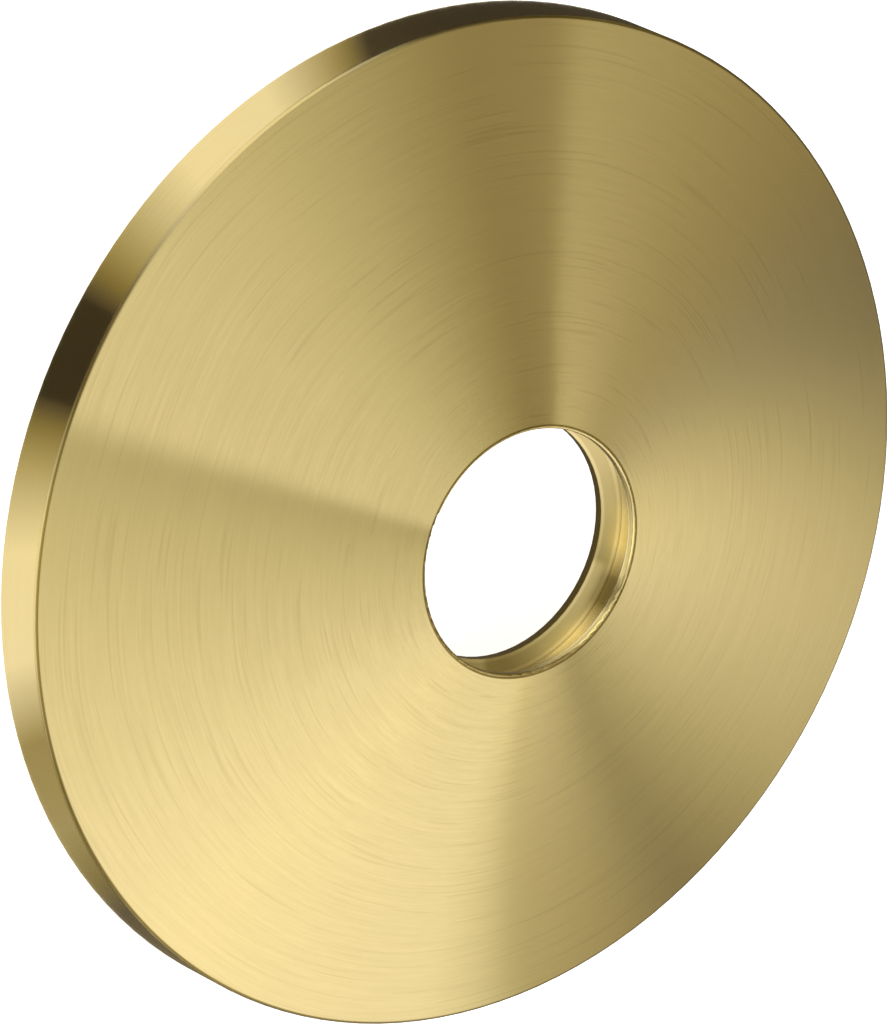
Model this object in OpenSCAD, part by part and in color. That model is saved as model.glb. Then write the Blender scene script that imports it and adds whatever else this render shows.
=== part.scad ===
// Pipe rosette: a turned brass cover that slides over a 15 mm pipe and hides its hole in the wall.
// The rear face lies on z = 0 and the axis of the pipe is the z axis, with the front face up.

/* [Face] */
// Outer diameter of the rim
outer_d = 64; // [56:0.5:90]
// Height of the straight rim, from the wall to the edge of the face
rim_h = 3.7; // [3:0.1:8]
// How far the conical face rises from the rim to the bore
face_rise = 6.1; // [4:0.1:12]
// Radius of the round between the rim and the face
edge_r = 0.25; // [0.1:0.05:0.8]

/* [Bore] */
// Diameter of the two lands that guide the pipe
bore_d = 15.5; // [12:0.1:28]
// Length of the bore, from its front edge to the rear face of the hub
bore_l = 4.2; // [3.8:0.1:7]
// Radius of the round on the front edge of the bore
lip_r = 0.18; // [0.1:0.02:0.4]
// Depth at which the front land ends and the groove begins
land_depth = 0.55; // [0.5:0.05:1]
// Chamfer on the rear edge of the bore
rear_chamfer = 0.25; // [0.1:0.05:0.4]

/* [Groove in the bore] */
// Depth of the groove below the lands, on the radius
groove_depth = 1.1; // [0.4:0.1:1.6]
// Distance from the front edge of the bore to the widest line of the groove
groove_z = 2.8; // [1.6:0.1:2.9]
// Length of the steep rear flank of the groove, along the axis
flank_l = 0.6; // [0.3:0.1:0.6]

/* [Hollow back] */
// Thickness of the conical wall
face_t = 2; // [1:0.1:2.5]
// Thickness of the rim
rim_t = 2; // [1:0.1:4]
// Wall left between the groove and the outside of the hub
hub_wall = 1.4; // [0.8:0.1:4]
// Radius of the coves where the face meets the rim and the hub inside
cove_r = 0.8; // [0.2:0.1:1]
// Bevel on both rear edges of the rim
foot_bevel = 0.05; // [0.05:0.05:0.4]

/* [Hidden] */
$fn = 120;
overlap = 1;
outer_r = outer_d / 2;
bore_r = bore_d / 2;
groove_r = bore_r + groove_depth;
hub_r = groove_r + hub_wall;
inner_r = outer_r - rim_t;
slope = atan(face_rise / (outer_r - bore_r));
front_z = rim_h + face_rise;
hub_z = front_z - bore_l;
hollow_drop = face_t / cos(slope);

// height of the face at a radius, and of the inside of the conical wall under it
function face_z(r) = rim_h + (outer_r - r) * tan(slope);
function hollow_z(r) = face_z(r) - hollow_drop;
function polar(length, angle) = [length * cos(angle), length * sin(angle)];

// what lies between a corner and the circle that touches both its edges, which run
// from the corner at the two angles
module corner(p, from, to, r) {
    half = (to - from) / 2;
    centre = p + polar(r / sin(half), from + half);
    run = r / tan(half);
    difference() {
        polygon([p, p + polar(run, from), centre, p + polar(run, to)]);
        translate(centre) circle(r);
    }
}

// half of the outside, from the axis to the rim, with its rounded and bevelled edges
module outside() {
    difference() {
        polygon([
            [0, 0],
            [outer_r - foot_bevel, 0],
            [outer_r, foot_bevel],
            [outer_r, rim_h],
            [bore_r, front_z],
            [0, front_z]
        ]);
        corner([outer_r, rim_h], 180 - slope, 270, edge_r);
    }
}

// half of the hollow behind the face, around the hub
module hollow() {
    difference() {
        polygon([
            [0, -overlap],
            [inner_r + foot_bevel + overlap, -overlap],
            [inner_r, foot_bevel],
            [inner_r, hollow_z(inner_r)],
            [hub_r, hollow_z(hub_r)],
            [hub_r, hub_z],
            [0, hub_z]
        ]);
        corner([inner_r, hollow_z(inner_r)], 180 - slope, 270, cove_r);
        corner([hub_r, hollow_z(hub_r)], 270, 360 - slope, cove_r);
    }
}

// half of the hole for the pipe: two lands with a groove between them
module bore() {
    polygon([
        [0, hub_z - overlap],
        [bore_r + rear_chamfer + overlap, hub_z - overlap],
        [bore_r, hub_z + rear_chamfer],
        [bore_r, front_z - groove_z - flank_l],
        [groove_r, front_z - groove_z],
        [bore_r, front_z - land_depth],
        [bore_r, front_z + overlap],
        [0, front_z + overlap]
    ]);
    corner([bore_r, front_z], 270, 360 - slope, lip_r);
}

module rosette() {
    color([0.78, 0.67, 0.38])
    rotate_extrude()
    difference() {
        outside();
        hollow();
        bore();
    }
}

rosette();
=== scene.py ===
import bpy
import numpy as np
from mathutils import Matrix, Vector

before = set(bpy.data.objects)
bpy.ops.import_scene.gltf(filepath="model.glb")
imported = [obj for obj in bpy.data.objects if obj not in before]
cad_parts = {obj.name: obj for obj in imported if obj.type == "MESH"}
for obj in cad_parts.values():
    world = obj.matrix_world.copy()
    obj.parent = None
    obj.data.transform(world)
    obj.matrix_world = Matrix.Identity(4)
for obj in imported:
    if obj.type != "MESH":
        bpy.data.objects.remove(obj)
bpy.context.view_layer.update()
scene = bpy.context.scene
scene.view_settings.view_transform = "Standard"


def setInputs(node, values):
    for name, value in values.items():
        node.inputs[name].default_value = value


def addNode(nodes, kind, **props):
    node = nodes.new(kind)
    for name, value in props.items():
        setattr(node, name, value)
    return node


def link(links, *pairs):
    for start, end in pairs:
        links.new(start, end)


def mathNode(nodes, links, operation, first, second=None, clamp=False):
    # one Math node; first and second are sockets or plain numbers
    node = addNode(nodes, "ShaderNodeMath", operation=operation, use_clamp=clamp)
    for socket, value in zip(node.inputs, (first, second)):
        if value is None:
            continue
        if isinstance(value, (int, float)):
            socket.default_value = value
        else:
            links.new(value, socket)
    return node.outputs[0]


# camera: aimed and rolled so that the part lies in the frame as it was photographed
cameraSettings = {
    "place": (0.0, -0.4489, 0.5366),     # metres, in the part's own frame
    "right": (-0.42621, 0.69349, 0.58087),
    "down": (0.90462, 0.32669, 0.27373),
    "forward": (0.00007, 0.64214, -0.76659),
    "lens": 401.867, "sensor": 36.0,     # mm
    "near": 0.01, "far": 20.0,           # metres
}


def makeCamera(s):
    data = bpy.data.cameras.new("camera")
    data.sensor_width, data.lens = s["sensor"], s["lens"]
    data.clip_start, data.clip_end = s["near"], s["far"]
    camera = bpy.data.objects.new("camera", data)
    scene.collection.objects.link(camera)
    right, down, forward = (Vector(s[side]).normalized() for side in ("right", "down", "forward"))
    turn = Matrix((right, -down, -forward)).transposed().to_4x4()
    turn.translation = Vector(s["place"])
    camera.matrix_world = turn
    scene.camera = camera


makeCamera(cameraSettings)
print("camera set")


# floor: pale paper; the camera, metal and glass see it lifted to white, with the shadow kept
floorSettings = {
    "half": 3.0, "drop": 0.00005,        # metres; the drop keeps it clear of the part
    "color": (0.50, 0.50, 0.50), "roughness": 0.9, "glow": 0.90,
}


def makeFloor(s):
    half, z = s["half"], -s["drop"]
    mesh = bpy.data.meshes.new("floor")
    corners = [(-half, -half, z), (half, -half, z), (half, half, z), (-half, half, z)]
    mesh.from_pydata(corners, [], [(0, 1, 2, 3)])
    floor = bpy.data.objects.new("floor", mesh)
    scene.collection.objects.link(floor)
    paper = bpy.data.materials.new("floorPaper")
    paper.use_nodes = True
    nodes, links = paper.node_tree.nodes, paper.node_tree.links
    shader = nodes["Principled BSDF"]
    path = addNode(nodes, "ShaderNodeLightPath")
    setInputs(shader, {"Base Color": (*s["color"], 1), "Roughness": s["roughness"],
                       "Specular IOR Level": 0.0, "Emission Color": (1, 1, 1, 1)})
    seen = mathNode(nodes, links, "MAXIMUM", path.outputs["Is Camera Ray"], path.outputs["Is Glossy Ray"])
    seen = mathNode(nodes, links, "MAXIMUM", seen, path.outputs["Is Transmission Ray"])
    links.new(mathNode(nodes, links, "MULTIPLY", seen, s["glow"]), shader.inputs["Emission Strength"])
    mesh.materials.append(paper)


makeFloor(floorSettings)

# world: a weak even fill
worldSettings = {"color": (1, 1, 1, 1), "strength": 0.25}

world = bpy.data.worlds.new("studio")
world.use_nodes = True
scene.world = world
setInputs(world.node_tree.nodes["Background"],
          {"Color": worldSettings["color"], "Strength": worldSettings["strength"]})

# lamps: two plain softboxes for the floor; the metal sees the light tent instead
lampSettings = {
    "lampOverhead": {"place": (-0.25, 0.35, 0.75), "size": 0.7, "power": 9.0},
    "lampFront": {"place": (0.35, -0.55, 0.65), "size": 0.6, "power": 6.0},
}


def makeLamp(name, s):
    data = bpy.data.lights.new(name, "AREA")
    data.shape, data.size, data.energy = "SQUARE", s["size"], s["power"]
    lamp = bpy.data.objects.new(name, data)
    scene.collection.objects.link(lamp)
    lamp.location = s["place"]
    lamp.rotation_euler = Vector(s["place"]).to_track_quat("Z", "Y").to_euler()
    lamp.visible_camera = lamp.visible_glossy = False


for name, settings in lampSettings.items():
    makeLamp(name, settings)

# Light tent round the part, seen by the metal alone. Its brightness is given round the point of the dome
# that mirrors the camera in a level surface: a stop is (degrees round that point, brightness). The inner
# stops hold close to the point, the outer ones past the first blend, the far ones past the second. The
# point and the blends are in tent radii, as seen from above
tentSettings = {
    "radius": 0.13, "mirror": (0.0, 0.642), "blend": (0.25, 0.38), "farBlend": (1.06, 1.16),
    "turnStep": 1.0, "rows": 48, "start": 0.01,
    "inner": ((8, 1.05), (17, 2.35), (46, 0.87), (76, 1.33), (152, 2.2), (185, 1.2), (201, 2.7),
              (205, 0.45), (310, 0.05)),
    "outer": ((12, 1.55), (18, 1.2), (24, 0.62), (52, 0.05), (148, 0.06), (202, 0.63), (205, 0.36),
              (216, 0.37), (246, 0.9), (262, 1.2), (277, 1.32), (280, 0.75), (324, 1.55), (342, 1.72)),
    "far": ((222, 0.1), (236, 2.5), (248, 2.5), (264, 0.3), (274, 0.3), (288, 2.4), (302, 2.3),
            (316, 0.6)),
}

# cards on the floor close round the part: the rim mirrors them in its dark and bright bands
ringSettings = {
    "from": 0.03205, "to": 0.120, "height": -0.00002, "turnStep": 1.0, "rows": 4,
    "stops": ((185, 0.05), (221, 0.07), (235, 1.45), (247, 1.5), (266, 0.06), (277, 0.05), (295, 1.5),
              (308, 1.5), (318, 0.5), (330, 0.55), (344, 0.13), (356, 0.13)),
}

# a dark collar under the hub, which the rear land of the bore mirrors
collarSettings = {
    "from": 0.0056, "to": 0.0098, "height": 0.0053, "turnStep": 1.0, "rows": 4,
    "stops": ((0, 0.14), (180, 0.14)),
}

# a small dark card under the bore, which the middle of its front band mirrors
cardSettings = {
    "place": (-0.0002, 0.0, -0.00002), "reach": (0.0011, 0.0030), "level": 0.08,
    "turnStep": 10.0, "rows": 3, "start": 0.02,
}

# tint of the tent cloth and of the cards by brightness: what is dark is warm, what is bright nearly neutral
tentTint = {
    "level": (0.1, 0.3, 0.7, 1.0, 1.6, 2.3),
    "red": (1.14, 1.18, 1.02, 1.01, 1.0, 1.02),
    "green": (0.97, 1.02, 1.0, 1.0, 0.99, 0.99),
    "blue": (0.95, 0.70, 0.87, 0.98, 1.12, 0.92),
}
cardTint = {
    "level": (0.1, 0.3, 0.7, 1.0, 1.6),
    "red": (1.12, 1.16, 1.06, 1.02, 1.0),
    "green": (0.95, 1.0, 0.99, 0.99, 0.98),
    "blue": (0.80, 0.50, 0.76, 0.95, 1.06),
}


def glowMaterial(name):
    # plain light whose colour is in the mesh
    mat = bpy.data.materials.new(name)
    mat.use_nodes = True
    mat.cycles.emission_sampling = "NONE"
    nodes, links = mat.node_tree.nodes, mat.node_tree.links
    nodes.clear()
    out = addNode(nodes, "ShaderNodeOutputMaterial")
    light = addNode(nodes, "ShaderNodeEmission")
    cloth = addNode(nodes, "ShaderNodeAttribute", attribute_name="cloth")
    link(links, (cloth.outputs["Color"], light.inputs["Color"]), (light.outputs[0], out.inputs[0]))
    return mat


def makeGlow(name, points, level, tint):
    # a grid of points with a brightness at each one, closed along its second side
    rows, cols = level.shape
    row, col = np.meshgrid(np.arange(rows - 1), np.arange(cols), indexing="ij")
    nextCol = (col + 1) % cols
    faces = np.stack([row * cols + col, row * cols + nextCol,
                      (row + 1) * cols + nextCol, (row + 1) * cols + col], -1)
    mesh = bpy.data.meshes.new(name)
    mesh.from_pydata(points.reshape(-1, 3).tolist(), [], faces.reshape(-1, 4).tolist())
    color = [level * np.interp(level, tint["level"], tint[band]) for band in ("red", "green", "blue")]
    color.append(np.ones_like(level))
    cloth = mesh.attributes.new("cloth", "FLOAT_COLOR", "POINT")
    cloth.data.foreach_set("color", np.stack(color, -1).ravel())
    mesh.materials.append(glowMaterial(name))
    glow = bpy.data.objects.new(name, mesh)
    scene.collection.objects.link(glow)
    glow.visible_camera = glow.visible_diffuse = glow.visible_shadow = False
    glow.visible_transmission = glow.visible_volume_scatter = False


def levelAt(stops, degrees):
    # brightness between the stops, right round the circle
    at, level = np.array(stops).T
    return np.interp(degrees, at, level, period=360)


def shareAlong(span, value):
    # 0 before the span, 1 past it, a straight line between
    return np.clip((value - span[0]) / (span[1] - span[0]), 0, 1)


def makeTent(name, s):
    # The dome seen from above is the unit disc. From the mirror point a ray goes out at each angle, and its
    # points stand closer together towards the edge of the disc; the height is the rest of the unit length
    turn = np.arange(0, 360, s["turnStep"])
    out = np.sin(np.linspace(s["start"], 1, s["rows"]) * np.pi / 2)[:, None]
    mx, my = s["mirror"]
    dx, dy = np.cos(np.radians(turn)), np.sin(np.radians(turn))
    along = mx * dx + my * dy
    edge = -along + np.sqrt(along ** 2 + 1 - mx ** 2 - my ** 2)
    dist = out * edge
    x, y = mx + dist * dx, my + dist * dy
    z = np.sqrt(np.maximum(1 - x ** 2 - y ** 2, 0))
    blend = shareAlong(s["blend"], dist)
    level = levelAt(s["inner"], turn) * (1 - blend) + levelAt(s["outer"], turn) * blend
    blend = shareAlong(s["farBlend"], dist)
    level = level * (1 - blend) + levelAt(s["far"], turn) * blend
    makeGlow(name, np.stack([x, y, z], -1) * s["radius"], level, tentTint)


def makeRing(name, s):
    # a flat ring: radius down the grid, angle along it
    turn = np.arange(0, 360, s["turnStep"])
    radius = np.linspace(s["from"], s["to"], s["rows"])[:, None]
    x, y = radius * np.cos(np.radians(turn)), radius * np.sin(np.radians(turn))
    level = levelAt(s["stops"], turn) + 0 * x
    makeGlow(name, np.stack([x, y, s["height"] + 0 * x], -1), level, cardTint)


def makeCard(name, s):
    # a flat oval on the floor: both half widths grow from nothing
    turn = np.radians(np.arange(0, 360, s["turnStep"]))
    grow = np.linspace(s["start"], 1, s["rows"])[:, None]
    x, y, z = s["place"]
    points = np.stack([x + grow * s["reach"][0] * np.cos(turn), y + grow * s["reach"][1] * np.sin(turn),
                       z + 0 * grow * turn], -1)
    makeGlow(name, points, s["level"] + 0 * grow * turn, cardTint)


makeTent("lightTent", tentSettings)
makeRing("rimCards", ringSettings)
makeRing("boreCollar", collarSettings)
makeCard("boreCard", cardSettings)
print("floor, lamps and light tent set")


def makeGroup(name, inputs, outputs):
    # an empty node group with its named inputs (vectors where the value is None) and outputs
    group = bpy.data.node_groups.new(name, "ShaderNodeTree")
    for socketName, value in inputs.items():
        kind = "NodeSocketVector" if value is None else "NodeSocketFloat"
        socket = group.interface.new_socket(socketName, in_out="INPUT", socket_type=kind)
        if value is not None:
            socket.default_value = value
    for socketName, kind in outputs.items():
        group.interface.new_socket(socketName, in_out="OUTPUT", socket_type=kind)
    ends = addNode(group.nodes, "NodeGroupInput"), addNode(group.nodes, "NodeGroupOutput")
    return group, group.nodes, group.links, *ends


# how the brush lines stray from their rings: a slow noise, its scale per metre
strayNoise = {"Scale": 42.0, "Detail": 1.0, "Roughness": 0.4}


def ringGroup(noiseSettings):
    # Ring coordinates of a turned part: Along is the unit circle point, Across is radius minus height in
    # metres, which grows steadily from the bore over the face and down the rim
    group, nodes, links, inp, out = makeGroup(
        "ringCoordinates", {"Vector": None, "Wander": 0.001},
        {"Along": "NodeSocketVector", "Across": "NodeSocketFloat", "Radius": "NodeSocketFloat",
         "Height": "NodeSocketFloat"})
    flat = addNode(nodes, "ShaderNodeVectorMath", operation="MULTIPLY")
    flat.inputs[1].default_value = (1, 1, 0)
    length = addNode(nodes, "ShaderNodeVectorMath", operation="LENGTH")
    unit = addNode(nodes, "ShaderNodeVectorMath", operation="NORMALIZE")
    split = addNode(nodes, "ShaderNodeSeparateXYZ")
    noise = addNode(nodes, "ShaderNodeTexNoise")
    setInputs(noise, noiseSettings)
    link(links, (inp.outputs["Vector"], flat.inputs[0]), (flat.outputs[0], length.inputs[0]),
         (flat.outputs[0], unit.inputs[0]), (inp.outputs["Vector"], split.inputs[0]),
         (inp.outputs["Vector"], noise.inputs["Vector"]), (unit.outputs[0], out.inputs["Along"]),
         (length.outputs["Value"], out.inputs["Radius"]), (split.outputs["Z"], out.inputs["Height"]))
    across = mathNode(nodes, links, "SUBTRACT", length.outputs["Value"], split.outputs["Z"])
    centred = mathNode(nodes, links, "SUBTRACT", noise.outputs["Fac"], 0.5)
    shift = mathNode(nodes, links, "MULTIPLY", centred, inp.outputs["Wander"])
    links.new(mathNode(nodes, links, "ADD", across, shift), out.inputs["Across"])
    return group


# brush lines: noise cells per metre across the ring, and the four sets as (pitch, cells along the ring,
# place in the noise, share of the sum), from fine to broad
brushSettings = {
    "pitch": {"Fine": 5200.0, "Middle": 2300.0, "Broad": 700.0},
    "sets": (("Fine", 4.5, 3.1, 0.42), ("Fine", 24.0, 57.3, 0.22), ("Middle", 3.6, 11.7, 0.24),
             ("Broad", 2.2, 23.9, 0.12)),
    "detail": 1.0, "noiseRoughness": 0.5,
    "scores": ("Fine", 3.0, 41.3), "scoreDetail": 0.0, "scoreRange": (0.66, 0.76),
}


def brushGroup(rings, s):
    # Brush lines round the axis: noise drawn out along the ring and squeezed across it. Lines is the sum of
    # the sets, and Scores are the few deeper lines, the peaks of one more noise
    group, nodes, links, inp, out = makeGroup(
        "brushLines", {"Vector": None, "Wander": 0.001, **s["pitch"]},
        {"Lines": "NodeSocketFloat", "Scores": "NodeSocketFloat"})
    ring = addNode(nodes, "ShaderNodeGroup", node_tree=rings)
    for socket in ("Vector", "Wander"):
        links.new(inp.outputs[socket], ring.inputs[socket])

    def lineNoise(pitch, arc, offset, detail):
        stretch = addNode(nodes, "ShaderNodeVectorMath", operation="MULTIPLY_ADD")
        stretch.inputs[1].default_value = (arc, arc, 0)
        across = addNode(nodes, "ShaderNodeCombineXYZ")
        across.inputs["X"].default_value = offset
        squeezed = mathNode(nodes, links, "MULTIPLY", ring.outputs["Across"], inp.outputs[pitch])
        noise = addNode(nodes, "ShaderNodeTexNoise")
        setInputs(noise, {"Scale": 1.0, "Detail": detail, "Roughness": s["noiseRoughness"]})
        link(links, (ring.outputs["Along"], stretch.inputs[0]), (squeezed, across.inputs["Z"]),
             (across.outputs[0], stretch.inputs[2]), (stretch.outputs[0], noise.inputs["Vector"]))
        return noise.outputs["Fac"]

    total = 0.0
    for pitch, arc, offset, share in s["sets"]:
        part = mathNode(nodes, links, "MULTIPLY", lineNoise(pitch, arc, offset, s["detail"]), share)
        total = mathNode(nodes, links, "ADD", total, part)
    links.new(total, out.inputs["Lines"])
    deep = addNode(nodes, "ShaderNodeMapRange")
    low, high = s["scoreRange"]
    setInputs(deep, {"From Min": low, "From Max": high})
    link(links, (lineNoise(*s["scores"], s["scoreDetail"]), deep.inputs["Value"]),
         (deep.outputs[0], out.inputs["Scores"]))
    return group


def edgeGroup():
    # One turned edge: a soft band in Along where it passes Edge, left out below Floor in Height
    group, nodes, links, inp, out = makeGroup(
        "edgeLine", {"Along": 0.0, "Height": 0.0, "Edge": 0.0282, "Width": 0.0002, "Floor": -1.0},
        {"Line": "NodeSocketFloat"})
    away = mathNode(nodes, links, "SUBTRACT", inp.outputs["Along"], inp.outputs["Edge"])
    near = mathNode(nodes, links, "DIVIDE", mathNode(nodes, links, "ABSOLUTE", away), inp.outputs["Width"])
    band = mathNode(nodes, links, "SUBTRACT", 1.0, near, clamp=True)
    above = mathNode(nodes, links, "GREATER_THAN", inp.outputs["Height"], inp.outputs["Floor"])
    links.new(mathNode(nodes, links, "MULTIPLY", band, above), out.inputs["Line"])
    return group


# Brass. Colours are linear: light and dark on the brush lines and between them, score in the deeper ones.
# The others are painted light: painted shade on the dull round at the rim, painted shade inside the bore,
# a paler painted sheen on the flank in front of its crease, painted shade on the thin dark lines and
# painted highlights on the two thin pale ones. Lengths are in metres
brassSettings = {
    "light": (0.600, 0.486, 0.204), "dark": (0.556, 0.448, 0.184), "score": (0.45, 0.355, 0.14),
    # colours of painted light: painted shade on the dull round and inside the bore, a paler painted sheen
    # on the flank
    "roundShade": (0.36, 0.295, 0.13), "bore": (0.42, 0.335, 0.130), "flankSheen": (0.80, 0.71, 0.44),
    # painted shade colour of the thin dark lines, and painted highlight colour of the two thin pale ones
    "paintedShade": (0.17, 0.12, 0.025), "bright": (0.66, 0.54, 0.25),
    "scoreShare": 0.3, "shadeShare": 0.95, "creaseShare": 0.8, "brightShare": 0.6,
    "brushShare": 0.86, "cloudShare": 0.14, "toneRange": (0.34, 0.66),
    "cloud": {"Scale": 170.0, "Detail": 3.0, "Roughness": 0.6},      # faint blotches in the colour
    "roughness": 0.195, "spread": 0.03, "spreadRange": (0.3, 0.7), "boreRoughness": 0.15,
    "anisotropic": 1.0, "anisotropicTurn": 0.25,
    "bump": 0.0000012, "lineRelief": 2.0, "scoreRelief": 0.3,        # height, share of lines and scores
    "wander": 0.0022,                         # how far a line strays from its ring
    "quietRim": 0.65, "quietBore": 0.95,      # share of the lines that is left out there
    # the dull round, which gets painted shade in its colour and is made rougher
    "roundAt": 0.02824, "roundWidth": 0.00030, "roundFloor": 0.003,  # radius minus height, lowest height
    "soft": 0.10,                             # how much rougher that round is
    # painted shade lines at the edges of the rim and the lip
    "rimShadeLine": (0.03187, 0.003), "lipShadeLine": (0.00796, 0.0093),       # radius, lowest height
    "shadeWidth": 0.00009, "shadeFirm": 2.0,
    "shadeFades": ((240, 0.80, 0.95, 0.0), (110, 0.3, 0.7, 0.55)),    # degrees, from and to cosine, rest
    "rimRadius": 0.0319, "lipRadius": 0.0080, "boreRadius": 0.0092,
    "lipHeight": 0.0093, "creaseHeight": 0.0070,
    # heights of the painted shade line at the crease and of the two painted highlights below it
    "creaseLine": 0.00707, "brightLines": (0.00692, 0.00645), "boreLineWidth": 0.00008,      # heights
}


def brassMaterial(s, rings, brush, edge):
    mat = bpy.data.materials.new("turnedBrass")
    mat.use_nodes = True
    nodes, links = mat.node_tree.nodes, mat.node_tree.links
    shader = nodes["Principled BSDF"]
    setInputs(shader, {"Metallic": 1.0, "Anisotropic": s["anisotropic"],
                       "Anisotropic Rotation": s["anisotropicTurn"]})

    def calc(operation, first, second, clamp=False):
        return mathNode(nodes, links, operation, first, second, clamp)

    def mapped(value, start, end, low=0.0, high=1.0):
        node = addNode(nodes, "ShaderNodeMapRange")
        setInputs(node, {"From Min": start, "From Max": end, "To Min": low, "To Max": high})
        links.new(value, node.inputs["Value"])
        return node.outputs[0]

    # the brush direction runs round the axis
    place = addNode(nodes, "ShaderNodeTexCoord").outputs["Object"]
    tangent = addNode(nodes, "ShaderNodeVectorMath", operation="CROSS_PRODUCT")
    tangent.inputs[0].default_value = (0, 0, 1)
    unit = addNode(nodes, "ShaderNodeVectorMath", operation="NORMALIZE")
    lines = addNode(nodes, "ShaderNodeGroup", node_tree=brush)
    ring = addNode(nodes, "ShaderNodeGroup", node_tree=rings)
    lines.inputs["Wander"].default_value = s["wander"]
    ring.inputs["Wander"].default_value = 0.0
    link(links, (place, tangent.inputs[1]), (tangent.outputs[0], unit.inputs[0]),
         (unit.outputs[0], shader.inputs["Tangent"]), (place, lines.inputs["Vector"]),
         (place, ring.inputs["Vector"]))
    radius, height = ring.outputs["Radius"], ring.outputs["Height"]

    def edgeLine(along, at, width, floor=-1.0):
        line = addNode(nodes, "ShaderNodeGroup", node_tree=edge)
        setInputs(line, {"Edge": at, "Width": width, "Floor": floor})
        link(links, (along, line.inputs["Along"]), (height, line.inputs["Height"]))
        return line.outputs["Line"]

    # masks of the places: inside the bore, its flank in front of the crease, bore and lip together, rim
    bore = calc("MULTIPLY", calc("LESS_THAN", radius, s["boreRadius"]),
                calc("LESS_THAN", height, s["lipHeight"]))
    # where the paler painted sheen goes: the flank in front of the crease
    flankSheen = calc("MULTIPLY", bore, calc("GREATER_THAN", height, s["creaseHeight"]))
    inside = calc("MAXIMUM", bore, calc("LESS_THAN", radius, s["lipRadius"]))
    rim = calc("GREATER_THAN", radius, s["rimRadius"])

    # thin lines: painted shade on the dull round, a painted shade line and two painted highlights in the
    # groove, and painted shade lines at the edge of the rim and the lip, with a firm middle; at the rim
    # that painted shade is left out on one side and thin on another
    # the dull round: painted shade in the colour, and more roughness
    dullRound = edgeLine(ring.outputs["Across"], s["roundAt"], s["roundWidth"], s["roundFloor"])
    # painted shade along the crease of the groove
    crease = calc("MULTIPLY", edgeLine(height, s["creaseLine"], s["boreLineWidth"]), bore)
    # two painted highlights in the groove
    pale = [edgeLine(height, at, s["boreLineWidth"]) for at in s["brightLines"]]
    pale = calc("MULTIPLY", calc("MAXIMUM", *pale), bore)
    # painted shade lines at the edges of the rim and the lip
    shadeLines = [edgeLine(radius, at, s["shadeWidth"], floor) for at, floor in (s["rimShadeLine"], s["lipShadeLine"])]
    rimShadeLine, lipShadeLine = [calc("MULTIPLY", line, s["shadeFirm"], clamp=True) for line in shadeLines]
    for degrees, start, end, left in s["shadeFades"]:
        aside = addNode(nodes, "ShaderNodeVectorMath", operation="DOT_PRODUCT")
        aside.inputs[1].default_value = (np.cos(np.radians(degrees)), np.sin(np.radians(degrees)), 0)
        links.new(ring.outputs["Along"], aside.inputs[0])
        rimShadeLine = calc("MULTIPLY", rimShadeLine, mapped(aside.outputs["Value"], start, end, 1.0, left))
    paintedShade = calc("MAXIMUM", rimShadeLine, lipShadeLine)

    # brush lines, fainter on the rim, nearly gone on the lip and in the bore
    plain = calc("ADD", calc("MULTIPLY", inside, s["quietBore"]), calc("MULTIPLY", rim, s["quietRim"]))
    keep = calc("SUBTRACT", 1.0, plain)
    brushed = calc("MULTIPLY", calc("SUBTRACT", lines.outputs["Lines"], 0.5), keep)
    brushed = calc("ADD", brushed, 0.5)
    scores = calc("MULTIPLY", lines.outputs["Scores"], keep)

    cloud = addNode(nodes, "ShaderNodeTexNoise")
    setInputs(cloud, s["cloud"])
    links.new(place, cloud.inputs["Vector"])
    tone = calc("ADD", calc("MULTIPLY", brushed, s["brushShare"]),
                calc("MULTIPLY", cloud.outputs["Fac"], s["cloudShare"]))

    def blendColor(share, first, second):
        mix = addNode(nodes, "ShaderNodeMix", data_type="RGBA")
        for name, value in (("A", first), ("B", second)):
            socket = [i for i in mix.inputs if i.name == name and i.type == "RGBA"][0]
            if isinstance(value, tuple):
                socket.default_value = (*value, 1)
            else:
                links.new(value, socket)
        links.new(share, mix.inputs["Factor"])
        return [o for o in mix.outputs if o.type == "RGBA"][0]

    color = blendColor(mapped(tone, *s["toneRange"]), s["dark"], s["light"])
    color = blendColor(calc("MULTIPLY", scores, s["scoreShare"]), color, s["score"])
    # painted shade: a darker colour inside the bore
    color = blendColor(bore, color, s["bore"])
    # painted sheen: a much paler colour on the flank in front of the crease
    color = blendColor(flankSheen, color, s["flankSheen"])
    # painted shade along the crease
    color = blendColor(calc("MULTIPLY", crease, s["creaseShare"]), color, s["paintedShade"])
    # painted highlights: the two thin pale lines in the groove
    color = blendColor(calc("MULTIPLY", pale, s["brightShare"]), color, s["bright"])
    # painted shade on the dull round at the rim
    color = blendColor(dullRound, color, s["roundShade"])
    # painted shade: the thin dark lines at the rim and the lip
    color = blendColor(calc("MULTIPLY", paintedShade, s["shadeShare"]), color, s["paintedShade"])
    links.new(color, shader.inputs["Base Color"])

    # the lines are smoother than what lies between them, the bore is smoother still, the dull round rougher
    half = s["spread"] / 2
    grain = mapped(brushed, *s["spreadRange"], s["roughness"] + half, s["roughness"] - half)
    grain = calc("SUBTRACT", grain, calc("MULTIPLY", bore, s["roughness"] - s["boreRoughness"]))
    links.new(calc("ADD", grain, calc("MULTIPLY", dullRound, s["soft"])), shader.inputs["Roughness"])

    bump = addNode(nodes, "ShaderNodeBump")
    setInputs(bump, {"Strength": 1.0, "Distance": s["bump"]})
    relief = calc("SUBTRACT", calc("MULTIPLY", brushed, s["lineRelief"]),
                  calc("MULTIPLY", scores, s["scoreRelief"]))
    link(links, (relief, bump.inputs["Height"]), (bump.outputs[0], shader.inputs["Normal"]))
    return mat


rings = ringGroup(strayNoise)
brass = brassMaterial(brassSettings, rings, brushGroup(rings, brushSettings), edgeGroup())
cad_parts["rosette"].material_slots[0].material = brass
print("brass on the rosette")
